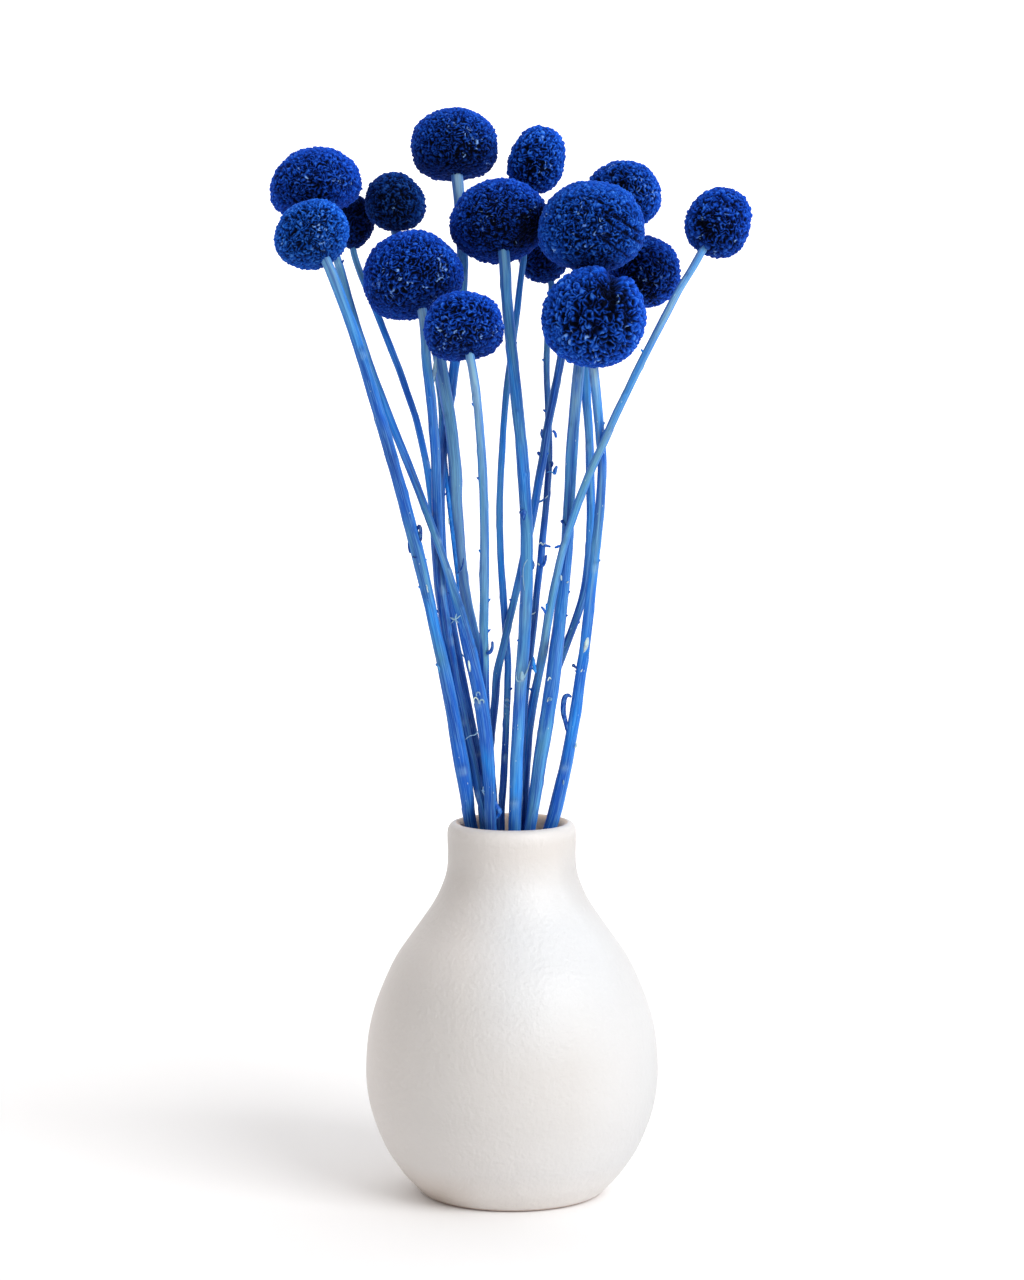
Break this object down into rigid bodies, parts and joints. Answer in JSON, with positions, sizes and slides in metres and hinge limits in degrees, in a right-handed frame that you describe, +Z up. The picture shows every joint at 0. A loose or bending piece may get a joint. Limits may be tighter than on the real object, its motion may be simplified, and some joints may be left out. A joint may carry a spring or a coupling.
{
  "type": "billy buttons bunch in a bud vase",
  "caption": "Bunch of blue-dyed dried billy buttons, ball-shaped flower heads on long bare stems, standing in a matte white pear-shaped ceramic bud vase.",
  "frame": {"origin": "middle of the flat foot of the vase", "axes": "+Z up along the vase's axis to the flowers, -Y towards the front of the bunch, +X to its right"},
  "size_m": [0.1486, 0.0936, 0.3466],
  "materials": {
    "vase_ceramic": "matte unglazed white with a faint fine orange-peel texture",
    "dyed_stem": "dry ridged flower stalk dyed blue, uneven from pale teal to navy, with small leaf scars",
    "dyed_flower_head": "densely packed matte florets dyed deep royal blue, paler at their tips"
  },
  "bodies": {
    "root": {"vase": "vase_ceramic", "stem_01": "dyed_stem", "stem_02": "dyed_stem", "stem_03": "dyed_stem", "stem_04": "dyed_stem", "stem_05": "dyed_stem", "stem_06": "dyed_stem", "stem_07": "dyed_stem", "stem_08": "dyed_stem", "stem_09": "dyed_stem", "stem_10": "dyed_stem", "stem_11": "dyed_stem", "stem_12": "dyed_stem", "stem_13": "dyed_stem", "stem_14": "dyed_stem", "stem_15": "dyed_stem", "flower_head_01": "dyed_flower_head", "flower_head_02": "dyed_flower_head", "flower_head_03": "dyed_flower_head", "flower_head_04": "dyed_flower_head", "flower_head_05": "dyed_flower_head", "flower_head_06": "dyed_flower_head", "flower_head_07": "dyed_flower_head", "flower_head_08": "dyed_flower_head", "flower_head_09": "dyed_flower_head", "flower_head_10": "dyed_flower_head", "flower_head_11": "dyed_flower_head", "flower_head_12": "dyed_flower_head", "flower_head_13": "dyed_flower_head", "flower_head_14": "dyed_flower_head", "flower_head_15": "dyed_flower_head"}
  },
  "joints": []
}
